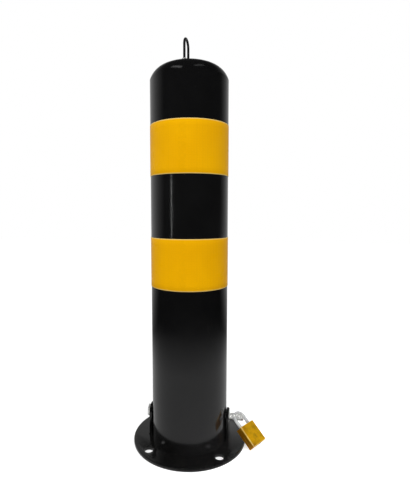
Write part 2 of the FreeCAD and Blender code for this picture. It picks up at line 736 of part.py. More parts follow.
def make_spring(label, family, length, direction, start):
    """A coil spring in the padlock that fills a length, from a point of its frame along one of its axes."""
    body = doc.addObject("PartDesign::Body", label)
    wire = f"{family}_wire"
    section = new_sketch(body, "XZ_Plane", f"{label}_section")
    add_circle(section, wire, f"{family}_coil")
    helix = body.newObject("PartDesign::AdditiveHelix", f"{label}_helix")
    helix.Profile = section
    helix.ReferenceAxis = (section, ["V_Axis"])
    helix.Mode = "height-turns-growth"
    helix.setExpression("Height", link(f"{length} - 2 * {wire}"))
    helix.setExpression("Turns", link(f"{family}_turns"))
    helix.Growth = 0
    first_turn = FreeCAD.Placement(FreeCAD.Vector(0, 0, size(wire)), FreeCAD.Rotation())
    body.Placement = in_lock(start, direction).multiply(first_turn)
    return body


def make_springs():
    """The springs behind the driver pins, under the heel and behind the latch."""
    first = "(plug_radius + plug_clearance + shear_gap + driver_length + spring_end_gap)"
    last = "(case_width / 2 - chamber_plug_recess - chamber_plug_length - spring_end_gap)"
    coils = []
    for i, drop in enumerate(chamber_drops()):
        start = (f"-{first}", "0", f"-{drop}")
        coils.append(make_spring(f"tumbler_spring_{i}", "tumbler_spring", f"({last} - {first})", OUTWARD, start))
    export_group("tumbler_springs", coils)
    heel = make_spring("heel_spring", "heel_spring", "(heel_spring_room - 2 * spring_end_gap)", (0, 0, 1),
                       ("shackle_pitch / 2", "0", "-(heel_depth + heel_spring_room - spring_end_gap)"))
    latch = make_spring("latch_spring", "latch_spring", "(latch_spring_room - 2 * spring_end_gap)", (1, 0, 0),
                        ("latch_back + spring_end_gap", "0", "-(latch_top + latch_height / 2)"))
    for body in (heel, latch):
        body.Label = body.Name
        EXPORTS.append(body)


def check_and_export():
    """Stop on any failed object or bad shape, then write one STEP file per sub-part."""
    doc.recompute()
    failed = [o.Name for o in doc.Objects if "Invalid" in o.State or "Error" in o.State]
    if failed:
        raise RuntimeError(f"failed objects: {failed}")
    for item in EXPORTS:
        shape = item.Shape
        if shape.isNull() or not shape.isValid() or not shape.Solids:
            raise RuntimeError(f"bad shape: {item.Label}")
    os.makedirs("parts", exist_ok=True)
    for item in EXPORTS:
        item.Shape.exportStep(os.path.join("parts", f"{item.Label}.step"))
        box = item.Shape.BoundBox
        print(f"{item.Label}: {len(item.Shape.Solids)} solid(s), {item.Shape.Volume:.0f} mm3, "
              f"z {box.ZMin:.2f} to {box.ZMax:.2f}")


def main():
    make_base_plate()
    make_locating_ring()
    make_ear("ear_left", f"-{EAR_FACE}")
    make_ear("ear_right", "tube_radius + ear_gap")
    make_column_tube()
    make_dome_cap()
    make_band("band_lower", "lower_band_rise")
    make_band("band_upper", "upper_band_rise")
    make_lifting_loop()
    make_loop_fasteners()
    make_locking_pin()
    make_padlock_case()
    make_padlock_shackle()
    make_padlock_plug()
    make_padlock_latch()
    make_cross_pins()
    make_tumblers()
    make_springs()
    check_and_export()


main()
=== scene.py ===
import json
import math

import bmesh
import bpy
from mathutils import Matrix, Vector


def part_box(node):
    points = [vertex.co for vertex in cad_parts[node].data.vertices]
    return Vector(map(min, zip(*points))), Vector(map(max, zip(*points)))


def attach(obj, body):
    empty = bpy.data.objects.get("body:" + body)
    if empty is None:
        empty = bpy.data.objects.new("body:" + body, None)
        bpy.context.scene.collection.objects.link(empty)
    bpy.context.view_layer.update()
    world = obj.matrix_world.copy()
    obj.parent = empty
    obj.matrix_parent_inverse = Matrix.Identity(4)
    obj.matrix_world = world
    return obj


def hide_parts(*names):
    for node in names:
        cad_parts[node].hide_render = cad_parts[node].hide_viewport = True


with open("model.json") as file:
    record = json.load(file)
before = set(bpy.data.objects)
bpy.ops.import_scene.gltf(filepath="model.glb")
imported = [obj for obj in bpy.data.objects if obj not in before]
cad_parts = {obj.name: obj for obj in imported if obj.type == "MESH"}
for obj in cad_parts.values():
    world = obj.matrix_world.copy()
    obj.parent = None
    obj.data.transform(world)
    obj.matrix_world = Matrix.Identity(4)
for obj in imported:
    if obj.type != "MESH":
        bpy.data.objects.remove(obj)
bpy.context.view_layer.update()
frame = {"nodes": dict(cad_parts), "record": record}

bl_info = {
    "name": "Removable Bollard",
    "version": (1, 0, 0),
    "blender": (4, 5, 0),
    "location": "View3D > Sidebar > Bollard",
    "description": "Builds a padlocked removable bollard and its studio around a packed CAD model",
    "category": "Add Mesh",
}

COLUMN_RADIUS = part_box("column_tube")[1].x
COLUMN_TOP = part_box("column_tube")[1].z
PLATE_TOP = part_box("base_plate")[1].z

# Fine detail, in metres, and the faces of a film
CASE_CHAMFER = 0.0008
PIN_ROUND = 0.0004
FASTENER_ROUND = 0.0003
FILM_GAP = 0.00005
FILM_LIP = 0.0001
FILM_SEGMENTS = 192
FILM_STEPS = 8
THREAD_START = 0.0006
THREAD_PAST_NUT = 0.0014
THREAD_CLEARANCE = 0.0008
JOIN_DISTANCE = 1e-6

# Colours of dust, of the film's pale edge line, and of the painted highlight on the padlock's edges
DUST = [0.20, 0.19, 0.17, 1.0]
FILM_EDGE = [0.95, 0.66, 0.20, 1.0]
EDGE_HIGHLIGHT_BRASS = [1.0, 0.80, 0.32, 1.0]

# Camera: degrees, metres, and the focal length in pixels of a frame of that height
CAMERA_AZIMUTH = math.radians(9.27)
CAMERA_TILT = 4.869
CAMERA_PLACE = (0.00686, -0.58149, 0.34835)
CAMERA_SHIFT = (0.02179, -0.00843)
CAMERA_FOCAL = 388.46
FRAME_HEIGHT = 500.0
SENSOR = 36.0

# Studio
WHITE = (1.0, 1.0, 1.0, 1.0)
SOFT_GREY = (0.8, 0.8, 0.8, 1.0)
SOFT_STRENGTH = 0.75
MIRRORED_TURN = math.radians(12.0)
FLOOR_REACH = 4.0
FLOOR_DROP = 0.0002
FLOOR_WHITE = 0.86
FLOOR_BOUNCE = 0.50
FLOOR_GLOW = 0.5

# Area lamps: degrees clockwise from the camera, distance, height, width, length, watts, and what they point at
COLUMN_MIDDLE = (0.0, 0.0, 0.3)
CAP = (0.0, 0.0, COLUMN_TOP)
LAMPS = {
    "lamp_strip": (-52.0, 2.2, 0.42, 0.014, 0.48, 0.5, COLUMN_MIDDLE),
    "lamp_key": (-24.0, 2.0, 1.75, 0.5, 0.35, 14.4, COLUMN_MIDDLE),
    "lamp_fill": (20.0, 2.2, 1.65, 0.45, 0.35, 8.9, COLUMN_MIDDLE),
    "lamp_glint_left": (-54.3, 0.584, 1.61, 0.50, 0.16, 0.30, CAP),
    "lamp_glint_right": (55.1, 0.428, 1.68, 0.45, 0.14, 0.10, CAP),
    "lamp_lock": (45.0, 0.36, 0.10, 0.06, 0.06, 0.11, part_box("padlock_case")[0]),
}
UNMIRRORED_LAMPS = ("lamp_key", "lamp_fill", "lamp_lock")
LOCK_BEAM = math.radians(70.0)


def length(label, text, value, low=0.0, high=1.0):
    """A property that holds a length in metres."""
    return bpy.props.FloatProperty(name=label, description=text, default=value, min=low, max=high, precision=5,
                                   unit="LENGTH")


def colour(label, text, value):
    """A property that holds a linear colour."""
    return bpy.props.FloatVectorProperty(name=label, description=text, default=value, min=0.0, max=1.0, size=3,
                                         subtype="COLOR")


class BollardSizes(bpy.types.PropertyGroup):
    """Sizes of the fine detail that is built over the CAD model."""

    edge_round: length("Edge rounding", "Radius on the edges of the sheet and bar parts", 0.0004)
    loop_rod: length("Loop rod radius", "Radius of the lifting loop's rod", 0.0018)
    thread_radius: length("Thread radius", "Outer radius of the threads on the loop's legs", 0.0020)
    thread_pitch: length("Thread pitch", "Rise of the thread in one turn", 0.0007, 0.0003)
    loop_spacing: length("Loop spacing", "Distance between the middles of the loop's legs", 0.020)
    loop_offset: length("Loop offset", "Place of the loop along X on the cap", -0.0044, -0.05)
    loop_turn: bpy.props.FloatProperty(name="Loop turn", description="Turn of the loop's plane from the X axis",
                                       default=math.radians(84.0), unit="ROTATION")
    weld_radius: length("Weld size", "Radius of the weld beads at the foot of the ears", 0.0016)
    weld_step: length("Weld ripple", "Distance between the ripples of a weld bead", 0.0011, 0.0004)
    film_line: length("Film edge", "Width of the pale line along each edge of the film", 0.0012)
    film_cell: length("Film cell", "Size of the reflective cells in the film", 0.0035, 0.001)


class BollardFinishes(bpy.types.PropertyGroup):
    """Colours of the finishes."""

    paint: colour("Paint", "Gloss paint on the column, the ears and the plate", (0.0046, 0.0046, 0.0048))
    film: colour("Film", "Reflective film of the bands", (1.0, 0.48, 0.0))
    zinc: colour("Zinc plate", "Plated pin, nuts and washers", (0.90, 0.90, 0.88))
    brass: colour("Brass", "Padlock case and key plug", (1.0, 0.51, 0.005))
    chrome: colour("Chrome", "Padlock shackle", (0.95, 0.95, 0.96))
    steel: colour("Steel", "Padlock's inner works", (0.42, 0.42, 0.43))
    dark: colour("Dark steel", "Blackened rod of the lifting loop", (0.035, 0.035, 0.037))


def sizes():
    """The sizes in use."""
    return bpy.context.scene.bollard_sizes


def finishes():
    """The colours in use."""
    return bpy.context.scene.bollard_finishes


# Node helpers

def add_node(tree, kind, links=None, **settings):
    """A node with its attributes set and its inputs linked or filled: {input: socket or value}."""
    node = tree.nodes.new(kind)
    for name, value in settings.items():
        setattr(node, name, value)
    for key, value in (links or {}).items():
        if isinstance(value, bpy.types.NodeSocket):
            tree.links.new(value, node.inputs[key])
        else:
            node.inputs[key].default_value = value
    return node


def new_finish(name, metallic, roughness, **shader):
    """A material with a Principled shader and its Object coordinates: (material, tree, shader, coordinates)."""
    material = bpy.data.materials.get(name) or bpy.data.materials.new(name)
    material.use_nodes = True
    tree = material.node_tree
    tree.nodes.clear()
    principled = tree.nodes.new("ShaderNodeBsdfPrincipled")
    add_node(tree, "ShaderNodeOutputMaterial", {"Surface": principled.outputs["BSDF"]})
    principled.inputs["Metallic"].default_value = metallic
    principled.inputs["Roughness"].default_value = roughness
    for key, value in shader.items():
        principled.inputs[key.replace("_", " ").title()].default_value = value
    place = tree.nodes.new("ShaderNodeTexCoord").outputs["Object"]
    return material, tree, principled, place


def stretched(tree, place, scale):
    """Object coordinates scaled by a different amount along each axis."""
    return add_node(tree, "ShaderNodeMapping", {"Vector": place, "Scale": scale}).outputs["Vector"]


def noise(tree, place, scale, detail=3.0, rough=0.55):
    """A soft random pattern from 0 to 1."""
    return add_node(tree, "ShaderNodeTexNoise", {"Vector": place, "Scale": scale, "Detail": detail,
                                                 "Roughness": rough}).outputs["Fac"]


def spread(tree, value, low, high, start=0.35, end=0.65):
    """Stretch a pattern between two limits."""
    return add_node(tree, "ShaderNodeMapRange", {"Value": value, "From Min": start, "From Max": end,
                                                 "To Min": low, "To Max": high}).outputs["Result"]


def blend_colours(tree, factor, first, second):
    """Two colours blended by a pattern."""
    mix = add_node(tree, "ShaderNodeMix", data_type="RGBA")
    for socket, value in ((mix.inputs[0], factor), (mix.inputs[6], first), (mix.inputs[7], second)):
        if isinstance(value, bpy.types.NodeSocket):
            tree.links.new(value, socket)
        else:
            socket.default_value = value
    return mix.outputs[2]


def tint(rgb, factor):
    """A colour made lighter or darker, with its alpha."""
    return [min(1.0, channel * factor) for channel in rgb] + [1.0]


def add_bump(tree, principled, heights, distance, strength):
    """Fine relief in a finish."""
    bump = add_node(tree, "ShaderNodeBump", {"Height": heights, "Distance": distance, "Strength": strength})
    tree.links.new(bump.outputs["Normal"], principled.inputs["Normal"])


# Finishes

def gloss_paint():
    """Black stoving paint: a deep gloss with faint orange peel, and a little dust near the ground."""
    rgb = finishes().paint
    material, tree, principled, place = new_finish("gloss_paint", 0.0, 0.2, Coat_weight=0.12, Coat_roughness=0.06)
    cloud = spread(tree, noise(tree, place, 18.0), 0.0, 1.0)
    body = blend_colours(tree, cloud, tint(rgb, 0.85), tint(rgb, 1.25))
    height = add_node(tree, "ShaderNodeSeparateXYZ", {"Vector": place}).outputs["Z"]
    low = spread(tree, height, 1.0, 0.0, 0.0, 0.03)
    specks = spread(tree, noise(tree, place, 420.0, 6.0, 0.7), 0.0, 0.10, 0.48, 0.72)
    dust = add_node(tree, "ShaderNodeMath", {0: low, 1: specks}, operation="MULTIPLY").outputs[0]
    tree.links.new(blend_colours(tree, dust, body, DUST), principled.inputs["Base Color"])
    tree.links.new(spread(tree, noise(tree, place, 45.0), 0.12, 0.19), principled.inputs["Roughness"])
    add_bump(tree, principled, noise(tree, place, 520.0, 2.0), 0.00003, 0.35)
    return material


def reflective_film(low_edge, high_edge):
    """Orange-yellow reflective film with fine cells and a paler line along both edges."""
    rgb = finishes().film
    size = sizes()
    material, tree, principled, place = new_finish(f"reflective_film_{round(low_edge * 1000)}", 0.0, 0.4)
    principled.inputs["Specular IOR Level"].default_value = 0.045
    cells = add_node(tree, "ShaderNodeTexVoronoi", {"Vector": place, "Scale": 1.0 / size.film_cell, "Randomness": 0.15},
                     feature="DISTANCE_TO_EDGE").outputs["Distance"]
    wall = spread(tree, cells, 1.0, 0.0, 0.0, 0.09)
    cloud = spread(tree, noise(tree, place, 14.0), 0.0, 1.0)
    body = blend_colours(tree, cloud, tint(rgb, 0.93), tint(rgb, 1.04))
    faint = add_node(tree, "ShaderNodeMath", {0: wall, 1: 0.16}, operation="MULTIPLY").outputs[0]
    celled = blend_colours(tree, faint, body, tint(rgb, 0.72))
    height = add_node(tree, "ShaderNodeSeparateXYZ", {"Vector": place}).outputs["Z"]
    middle, half = (low_edge + high_edge) / 2, (high_edge - low_edge) / 2
    away = add_node(tree, "ShaderNodeMath", {0: height, 1: middle}, operation="SUBTRACT").outputs[0]
    away = add_node(tree, "ShaderNodeMath", {0: away}, operation="ABSOLUTE").outputs[0]
    line = spread(tree, away, 0.0, 1.0, half - size.film_line, half - size.film_line * 0.7)
    tree.links.new(blend_colours(tree, line, celled, FILM_EDGE), principled.inputs["Base Color"])
    tree.links.new(spread(tree, noise(tree, place, 60.0), 0.26, 0.38), principled.inputs["Roughness"])
    add_bump(tree, principled, cells, 0.00004, 0.3)
    return material


def zinc_plate():
    """Bright zinc plating with a faint grain, and painted shade that darkens the underside."""
    rgb = finishes().zinc
    material, tree, principled, place = new_finish("zinc_plate", 0.55, 0.30)
    patches = spread(tree, noise(tree, place, 160.0, 4.0), 0.0, 1.0)
    bright = blend_colours(tree, patches, tint(rgb, 0.93), tint(rgb, 1.05))
    normal = tree.nodes.new("ShaderNodeTexCoord").outputs["Normal"]
    upward = add_node(tree, "ShaderNodeSeparateXYZ", {"Vector": normal}).outputs["Z"]
    # Painted shade: faces that point downwards blend towards a near-black copy of the plating.
    underside_shaded = blend_colours(tree, spread(tree, upward, 1.0, 0.0, -0.45, 0.05), bright, tint(rgb, 0.12))
    tree.links.new(underside_shaded, principled.inputs["Base Color"])
    tree.links.new(spread(tree, noise(tree, place, 300.0, 5.0), 0.20, 0.30), principled.inputs["Roughness"])
    add_bump(tree, principled, noise(tree, place, 1400.0, 2.0), 0.00002, 0.3)
    return material


def brushed_brass():
    """Solid brass: brushed faces with soft tarnish, painted shade on the sides and a painted highlight along the edges.
    """
    rgb = finishes().brass
    material, tree, principled, place = new_finish("brushed_brass", 0.62, 0.36)
    streaks = noise(tree, stretched(tree, place, (2600.0, 500.0, 700.0)), 1.0, 2.0)
    tarnish = spread(tree, noise(tree, place, 110.0, 4.0), 0.0, 1.0, 0.42, 0.70)
    bright = blend_colours(tree, spread(tree, streaks, 0.0, 1.0), tint(rgb, 0.86), tint(rgb, 1.12))
    aged = blend_colours(tree, tarnish, bright, [rgb[0] * 0.62, rgb[1] * 0.55, rgb[2] * 0.6, 1.0])
    across = next(row["axis"] for row in frame["record"]["behaviour"]["joints"] if row["name"] == "padlock_swing")
    normal = tree.nodes.new("ShaderNodeTexCoord").outputs["Normal"]
    facing = add_node(tree, "ShaderNodeVectorMath", {0: normal, 1: across}, operation="DOT_PRODUCT").outputs["Value"]
    facing = add_node(tree, "ShaderNodeMath", {0: facing}, operation="ABSOLUTE").outputs[0]
    # Painted shade: faces that point along the swing axis, the padlock's sides, get a darker brown copy of the brass.
    side_shade_colour = tint((rgb[0], rgb[1] * 0.8, rgb[2]), 0.42)
    side_shaded = blend_colours(tree, spread(tree, facing, 1.0, 0.0, 0.1, 0.4), aged, side_shade_colour)
    # Painted highlight: chamfer faces that turn between the face and the side get a bright pale brass line.
    edge = add_node(tree, "ShaderNodeMath", {0: spread(tree, facing, 0.0, 1.0, 0.3, 0.5),
                                             1: spread(tree, facing, 0.7, 0.0, 0.85, 0.97)},
                    operation="MULTIPLY").outputs[0]
    edge_highlighted = blend_colours(tree, edge, side_shaded, EDGE_HIGHLIGHT_BRASS)
    tree.links.new(edge_highlighted, principled.inputs["Base Color"])
    tree.links.new(spread(tree, streaks, 0.28, 0.44), principled.inputs["Roughness"])
    add_bump(tree, principled, streaks, 0.00003, 0.35)
    return material


def bright_chrome():
    """Polished chrome with barely visible wear."""
    rgb = finishes().chrome
    material, tree, principled, place = new_finish("bright_chrome", 0.45, 0.12)
    wear = spread(tree, noise(tree, place, 240.0, 5.0), 0.07, 0.18)
    tree.links.new(wear, principled.inputs["Roughness"])
    cloud = spread(tree, noise(tree, place, 90.0), 0.0, 1.0)
    tree.links.new(blend_colours(tree, cloud, tint(rgb, 0.94), tint(rgb, 1.04)), principled.inputs["Base Color"])
    return material


def dark_steel():
    """Blackened steel rod, rubbed a little brighter in patches."""
    rgb = finishes().dark
    material, tree, principled, place = new_finish("dark_steel", 0.6, 0.34)
    rubbed = spread(tree, noise(tree, place, 380.0, 5.0), 0.0, 1.0, 0.52, 0.75)
    tree.links.new(blend_colours(tree, rubbed, tint(rgb, 1.0), tint(rgb, 2.6)), principled.inputs["Base Color"])
    tree.links.new(spread(tree, noise(tree, place, 260.0), 0.26, 0.42), principled.inputs["Roughness"])
    return material


def plain_steel():
    """Machined steel with turning marks and a thin film of oil."""
    rgb = finishes().steel
    material, tree, principled, place = new_finish("plain_steel", 1.0, 0.36)
    marks = noise(tree, stretched(tree, place, (900.0, 900.0, 3600.0)), 1.0, 2.0)
    tree.links.new(blend_colours(tree, spread(tree, marks, 0.0, 1.0), tint(rgb, 0.85), tint(rgb, 1.15)),
                   principled.inputs["Base Color"])
    tree.links.new(spread(tree, marks, 0.28, 0.44), principled.inputs["Roughness"])
    return material


# Mesh helpers

def remove_old(name):
    """Clear what an earlier run left."""
    old = bpy.data.objects.get(name)
    if old:
        bpy.data.objects.remove(old)


def place_mesh(name, mesh, material=None):
    """A mesh object at the origin, with its finish."""
    remove_old(name)
    obj = bpy.data.objects.new(name, mesh)
    bpy.context.scene.collection.objects.link(obj)
    if material:
        mesh.materials.clear()
        mesh.materials.append(material)
    return obj


def freeze(obj):
    """Turn an object and its modifiers into one plain mesh."""
    graph = bpy.context.evaluated_depsgraph_get()
    mesh = bpy.data.meshes.new_from_object(obj.evaluated_get(graph), preserve_all_data_layers=True, depsgraph=graph)
    obj.modifiers.clear()
    obj.data = mesh
    mesh.name = obj.name
    return obj


def smooth(obj, angle=30.0):
    """Smooth shading that keeps the sharp edges."""
    obj.data.shade_smooth()
    obj.data.set_sharp_from_angle(angle=math.radians(angle))


def finish_piece(obj, body, material_slot, *nodes):
    """Hang a piece on the empty of what it rides on and hide the nodes it stands for; what it is made of is not used.
    """
    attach(obj, body)
    if nodes:
        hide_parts(*nodes)


def paint_node(node, material):
    """Give a CAD node that stays its finish."""
    mesh = frame["nodes"][node].data
    mesh.materials.clear()
    mesh.materials.append(material)


def lathe(name, profile, segments, material):
    """Turn a profile of (radius, height) points about Z. Closed profiles give a wall."""
    shape = bmesh.new()
    verts = [shape.verts.new((radius, 0.0, height)) for radius, height in profile]
    edges = [shape.edges.new((verts[i], verts[(i + 1) % len(verts)])) for i in range(len(verts))]
    bmesh.ops.spin(shape, geom=verts + edges, cent=(0, 0, 0), axis=(0, 0, 1), angle=2 * math.pi, steps=segments,
                   use_merge=True)
    bmesh.ops.remove_doubles(shape, verts=shape.verts, dist=JOIN_DISTANCE)
    bmesh.ops.recalc_face_normals(shape, faces=shape.faces)
    mesh = bpy.data.meshes.new(name)
    shape.to_mesh(mesh)
    shape.free()
    return place_mesh(name, mesh, material)


def merged_copy(node, name, material):
    """A copy of a CAD node with its triangles joined and its flat faces made whole."""
    shape = bmesh.new()
    shape.from_mesh(frame["nodes"][node].data)
    bmesh.ops.remove_doubles(shape, verts=shape.verts, dist=JOIN_DISTANCE)
    bmesh.ops.dissolve_limit(shape, angle_limit=math.radians(0.6), verts=shape.verts, edges=shape.edges)
    mesh = bpy.data.meshes.new(name)
    shape.to_mesh(mesh)
    shape.free()
    return place_mesh(name, mesh, material)


def rounded(obj, width, segments=3, angle=35.0):
    """Round every sharp edge of a piece, then freeze it."""
    bevel = obj.modifiers.new("rounding", "BEVEL")
    bevel.width = width
    bevel.segments = segments
    bevel.limit_method = "ANGLE"
    bevel.angle_limit = math.radians(angle)
    bevel.harden_normals = False
    freeze(obj)
    smooth(obj, 40.0)
    return obj


def dressed(node, body, material, material_slot, width):
    """A CAD node's own shape with rounded edges, standing for that node."""
    piece = rounded(merged_copy(node, f"{node}_dressed", material), width)
    finish_piece(piece, body, material_slot, node)
    return piece


# Geometry Nodes helpers

def new_tree(name, inputs):
    """A Geometry Nodes tree with named inputs: (tree, its input sockets by name)."""
    old = bpy.data.node_groups.get(name)
    if old:
        bpy.data.node_groups.remove(old)
    tree = bpy.data.node_groups.new(name, "GeometryNodeTree")
    tree.is_modifier = True
    for label, kind in inputs:
        tree.interface.new_socket(label, in_out="INPUT", socket_type=kind)
    tree.interface.new_socket("Geometry", in_out="OUTPUT", socket_type="NodeSocketGeometry")
    entry = tree.nodes.new("NodeGroupInput")
    return tree, entry.outputs


def close_tree(tree, geometry, material_socket):
    """End a tree: real geometry with its material."""
    real = add_node(tree, "GeometryNodeRealizeInstances", {"Geometry": geometry})
    made = add_node(tree, "GeometryNodeSetMaterial", {"Geometry": real.outputs["Geometry"],
                                                      "Material": material_socket})
    add_node(tree, "NodeGroupOutput", {"Geometry": made.outputs["Geometry"]})


def grow(name, tree, values):
    """Run a tree on an empty mesh, with its inputs set by identifier, and keep the plain result."""
    obj = place_mesh(name, bpy.data.meshes.new(name))
    modifier = obj.modifiers.new("build", "NODES")
    modifier.node_group = tree
    for item in tree.interface.items_tree:
        if item.item_type == "SOCKET" and item.in_out == "INPUT":
            modifier[item.identifier] = values[item.name]
    freeze(obj)
    if not obj.data.polygons:
        raise RuntimeError(f"{name} came out empty")
    return obj


def merge_points(obj):
    """Close the seams of a swept shape and point its faces outwards."""
    shape = bmesh.new()
    shape.from_mesh(obj.data)
    bmesh.ops.remove_doubles(shape, verts=shape.verts, dist=JOIN_DISTANCE)
    bmesh.ops.recalc_face_normals(shape, faces=shape.faces)
    shape.to_mesh(obj.data)
    shape.free()


def move_mesh(obj, matrix):
    """Put a piece in place by its points, so that its object stays at the origin."""
    obj.data.transform(matrix)


def rod_tree():
    """A round rod along two legs and the half circle that joins them."""
    tree, given = new_tree("Bent rod", [("Rod radius", "NodeSocketFloat"), ("Spacing", "NodeSocketFloat"),
                                        ("Leg", "NodeSocketFloat"), ("Material", "NodeSocketMaterial")])
    half = add_node(tree, "ShaderNodeMath", {0: given["Spacing"], 1: 0.5}, operation="MULTIPLY").outputs[0]
    minus = add_node(tree, "ShaderNodeMath", {0: half, 1: -1.0}, operation="MULTIPLY").outputs[0]
    foot = add_node(tree, "ShaderNodeCombineXYZ", {"X": minus}).outputs[0]
    knee = add_node(tree, "ShaderNodeCombineXYZ", {"X": minus, "Z": given["Leg"]}).outputs[0]
    crown_height = add_node(tree, "ShaderNodeMath", {0: given["Leg"], 1: half}, operation="ADD").outputs[0]
    crown = add_node(tree, "ShaderNodeCombineXYZ", {"Z": crown_height}).outputs[0]
    far_knee = add_node(tree, "ShaderNodeCombineXYZ", {"X": half, "Z": given["Leg"]}).outputs[0]
    far_foot = add_node(tree, "ShaderNodeCombineXYZ", {"X": half}).outputs[0]
    first = add_node(tree, "GeometryNodeCurvePrimitiveLine", {"Start": foot, "End": knee})
    bow = add_node(tree, "GeometryNodeCurveArc", {"Resolution": 48, "Start": knee, "Middle": crown, "End": far_knee},
                   mode="POINTS")
    last = add_node(tree, "GeometryNodeCurvePrimitiveLine", {"Start": far_knee, "End": far_foot})
    paths = add_node(tree, "GeometryNodeJoinGeometry")
    for path in (last, bow, first):
        tree.links.new(path.outputs["Curve"], paths.inputs["Geometry"])
    lines = add_node(tree, "GeometryNodeCurveToMesh", {"Curve": paths.outputs["Geometry"]})
    joined = add_node(tree, "GeometryNodeMergeByDistance", {"Geometry": lines.outputs["Mesh"], "Distance": 1e-5})
    chain = add_node(tree, "GeometryNodeMeshToCurve", {"Mesh": joined.outputs["Geometry"]})
    ring = add_node(tree, "GeometryNodeCurvePrimitiveCircle", {"Resolution": 32, "Radius": given["Rod radius"]})
    rod = add_node(tree, "GeometryNodeCurveToMesh", {"Curve": chain.outputs["Curve"],
                                                     "Profile Curve": ring.outputs["Curve"], "Fill Caps": True})
    close_tree(tree, rod.outputs["Mesh"], given["Material"])
    return tree


def thread_tree():
    """Screw thread ridges round two parallel legs."""
    tree, given = new_tree("Leg threads", [("Root radius", "NodeSocketFloat"), ("Outer radius", "NodeSocketFloat"),
                                           ("Pitch", "NodeSocketFloat"), ("Length", "NodeSocketFloat"),
                                           ("Spacing", "NodeSocketFloat"), ("Material", "NodeSocketMaterial")])
    turns = add_node(tree, "ShaderNodeMath", {0: given["Length"], 1: given["Pitch"]}, operation="DIVIDE").outputs[0]
    helix = add_node(tree, "GeometryNodeCurveSpiral", {"Resolution": 28, "Rotations": turns,
                                                       "Start Radius": given["Root radius"],
                                                       "End Radius": given["Root radius"], "Height": given["Length"]})
    depth = add_node(tree, "ShaderNodeMath", {0: given["Outer radius"], 1: given["Root radius"]},
                     operation="SUBTRACT").outputs[0]
    ridge = add_node(tree, "GeometryNodeCurvePrimitiveCircle", {"Resolution": 4, "Radius": depth})
    thread = add_node(tree, "GeometryNodeCurveToMesh", {"Curve": helix.outputs["Curve"],
                                                        "Profile Curve": ridge.outputs["Curve"], "Fill Caps": True})
    half = add_node(tree, "ShaderNodeMath", {0: given["Spacing"], 1: 0.5}, operation="MULTIPLY").outputs[0]
    minus = add_node(tree, "ShaderNodeMath", {0: half, 1: -1.0}, operation="MULTIPLY").outputs[0]
    start = add_node(tree, "ShaderNodeCombineXYZ", {"X": minus}).outputs[0]
    end = add_node(tree, "ShaderNodeCombineXYZ", {"X": half}).outputs[0]
    legs = add_node(tree, "GeometryNodeMeshLine", {"Count": 2, "Start Location": start, "Offset": end},
                    mode="END_POINTS")
    both = add_node(tree, "GeometryNodeInstanceOnPoints", {"Points": legs.outputs["Mesh"],
                                                           "Instance": thread.outputs["Mesh"]})
    close_tree(tree, both.outputs["Instances"], given["Material"])
    return tree


def weld_tree():
    """A rippled weld bead along a straight foot."""
    tree, given = new_tree("Weld bead", [("Length", "NodeSocketFloat"), ("Size", "NodeSocketFloat"),
                                         ("Ripple", "NodeSocketFloat"), ("Seed", "NodeSocketInt"),
                                         ("Material", "NodeSocketMaterial")])
    half = add_node(tree, "ShaderNodeMath", {0: given["Length"], 1: 0.5}, operation="MULTIPLY").outputs[0]
    minus = add_node(tree, "ShaderNodeMath", {0: half, 1: -1.0}, operation="MULTIPLY").outputs[0]
    start = add_node(tree, "ShaderNodeCombineXYZ", {"Y": minus}).outputs[0]
    end = add_node(tree, "ShaderNodeCombineXYZ", {"Y": half}).outputs[0]
    run = add_node(tree, "GeometryNodeCurvePrimitiveLine", {"Start": start, "End": end})
    steps = add_node(tree, "GeometryNodeCurveToPoints", {"Curve": run.outputs["Curve"], "Length": given["Ripple"]},
                     mode="LENGTH")
    ball = add_node(tree, "GeometryNodeMeshUVSphere", {"Segments": 16, "Rings": 8, "Radius": given["Size"]})
    scale = add_node(tree, "FunctionNodeRandomValue", {"Min": (0.9, 0.85, 0.9), "Max": (1.05, 1.0, 1.05),
                                                       "Seed": given["Seed"]}, data_type="FLOAT_VECTOR")
    beads = add_node(tree, "GeometryNodeInstanceOnPoints", {"Points": steps.outputs["Points"],
                                                            "Instance": ball.outputs["Mesh"],
                                                            "Scale": scale.outputs["Value"]})
    close_tree(tree, beads.outputs["Instances"], given["Material"])
    return tree


# Operators

class BOLLARD_OT_base(bpy.types.Operator):
    """Base plate, locating ring and the two ears with their welds"""

    bl_idname = "bollard.base"
    bl_label = "Base and Ears"
    bl_options = {"REGISTER", "UNDO"}

    def execute(self, context):
        paint = gloss_paint()
        size = sizes()
        for node in ("base_plate", "locating_ring", "ear_left", "ear_right"):
            dressed(node, "base", paint, "black_paint", size.edge_round)
        tree = weld_tree()
        for seed, node in enumerate(("ear_left", "ear_right"), start=1):
            low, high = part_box(node)
            outward = low.x if low.x < 0 else high.x
            bead = grow(f"{node}_weld", tree, {"Length": high.y - low.y - 2 * size.weld_radius,
                                               "Size": size.weld_radius, "Ripple": size.weld_step, "Seed": seed,
                                               "Material": paint})
            move_mesh(bead, Matrix.Translation((outward, 0.0, PLATE_TOP)))
            smooth(bead, 60.0)
            finish_piece(bead, "base", "black_paint")
        return {"FINISHED"}


class BOLLARD_OT_column(bpy.types.Operator):
    """Steel column and its domed cap"""

    bl_idname = "bollard.column"
    bl_label = "Column and Cap"
    bl_options = {"REGISTER", "UNDO"}

    def execute(self, context):
        paint = gloss_paint()
        for node in ("column_tube", "dome_cap"):
            paint_node(node, paint)
        return {"FINISHED"}


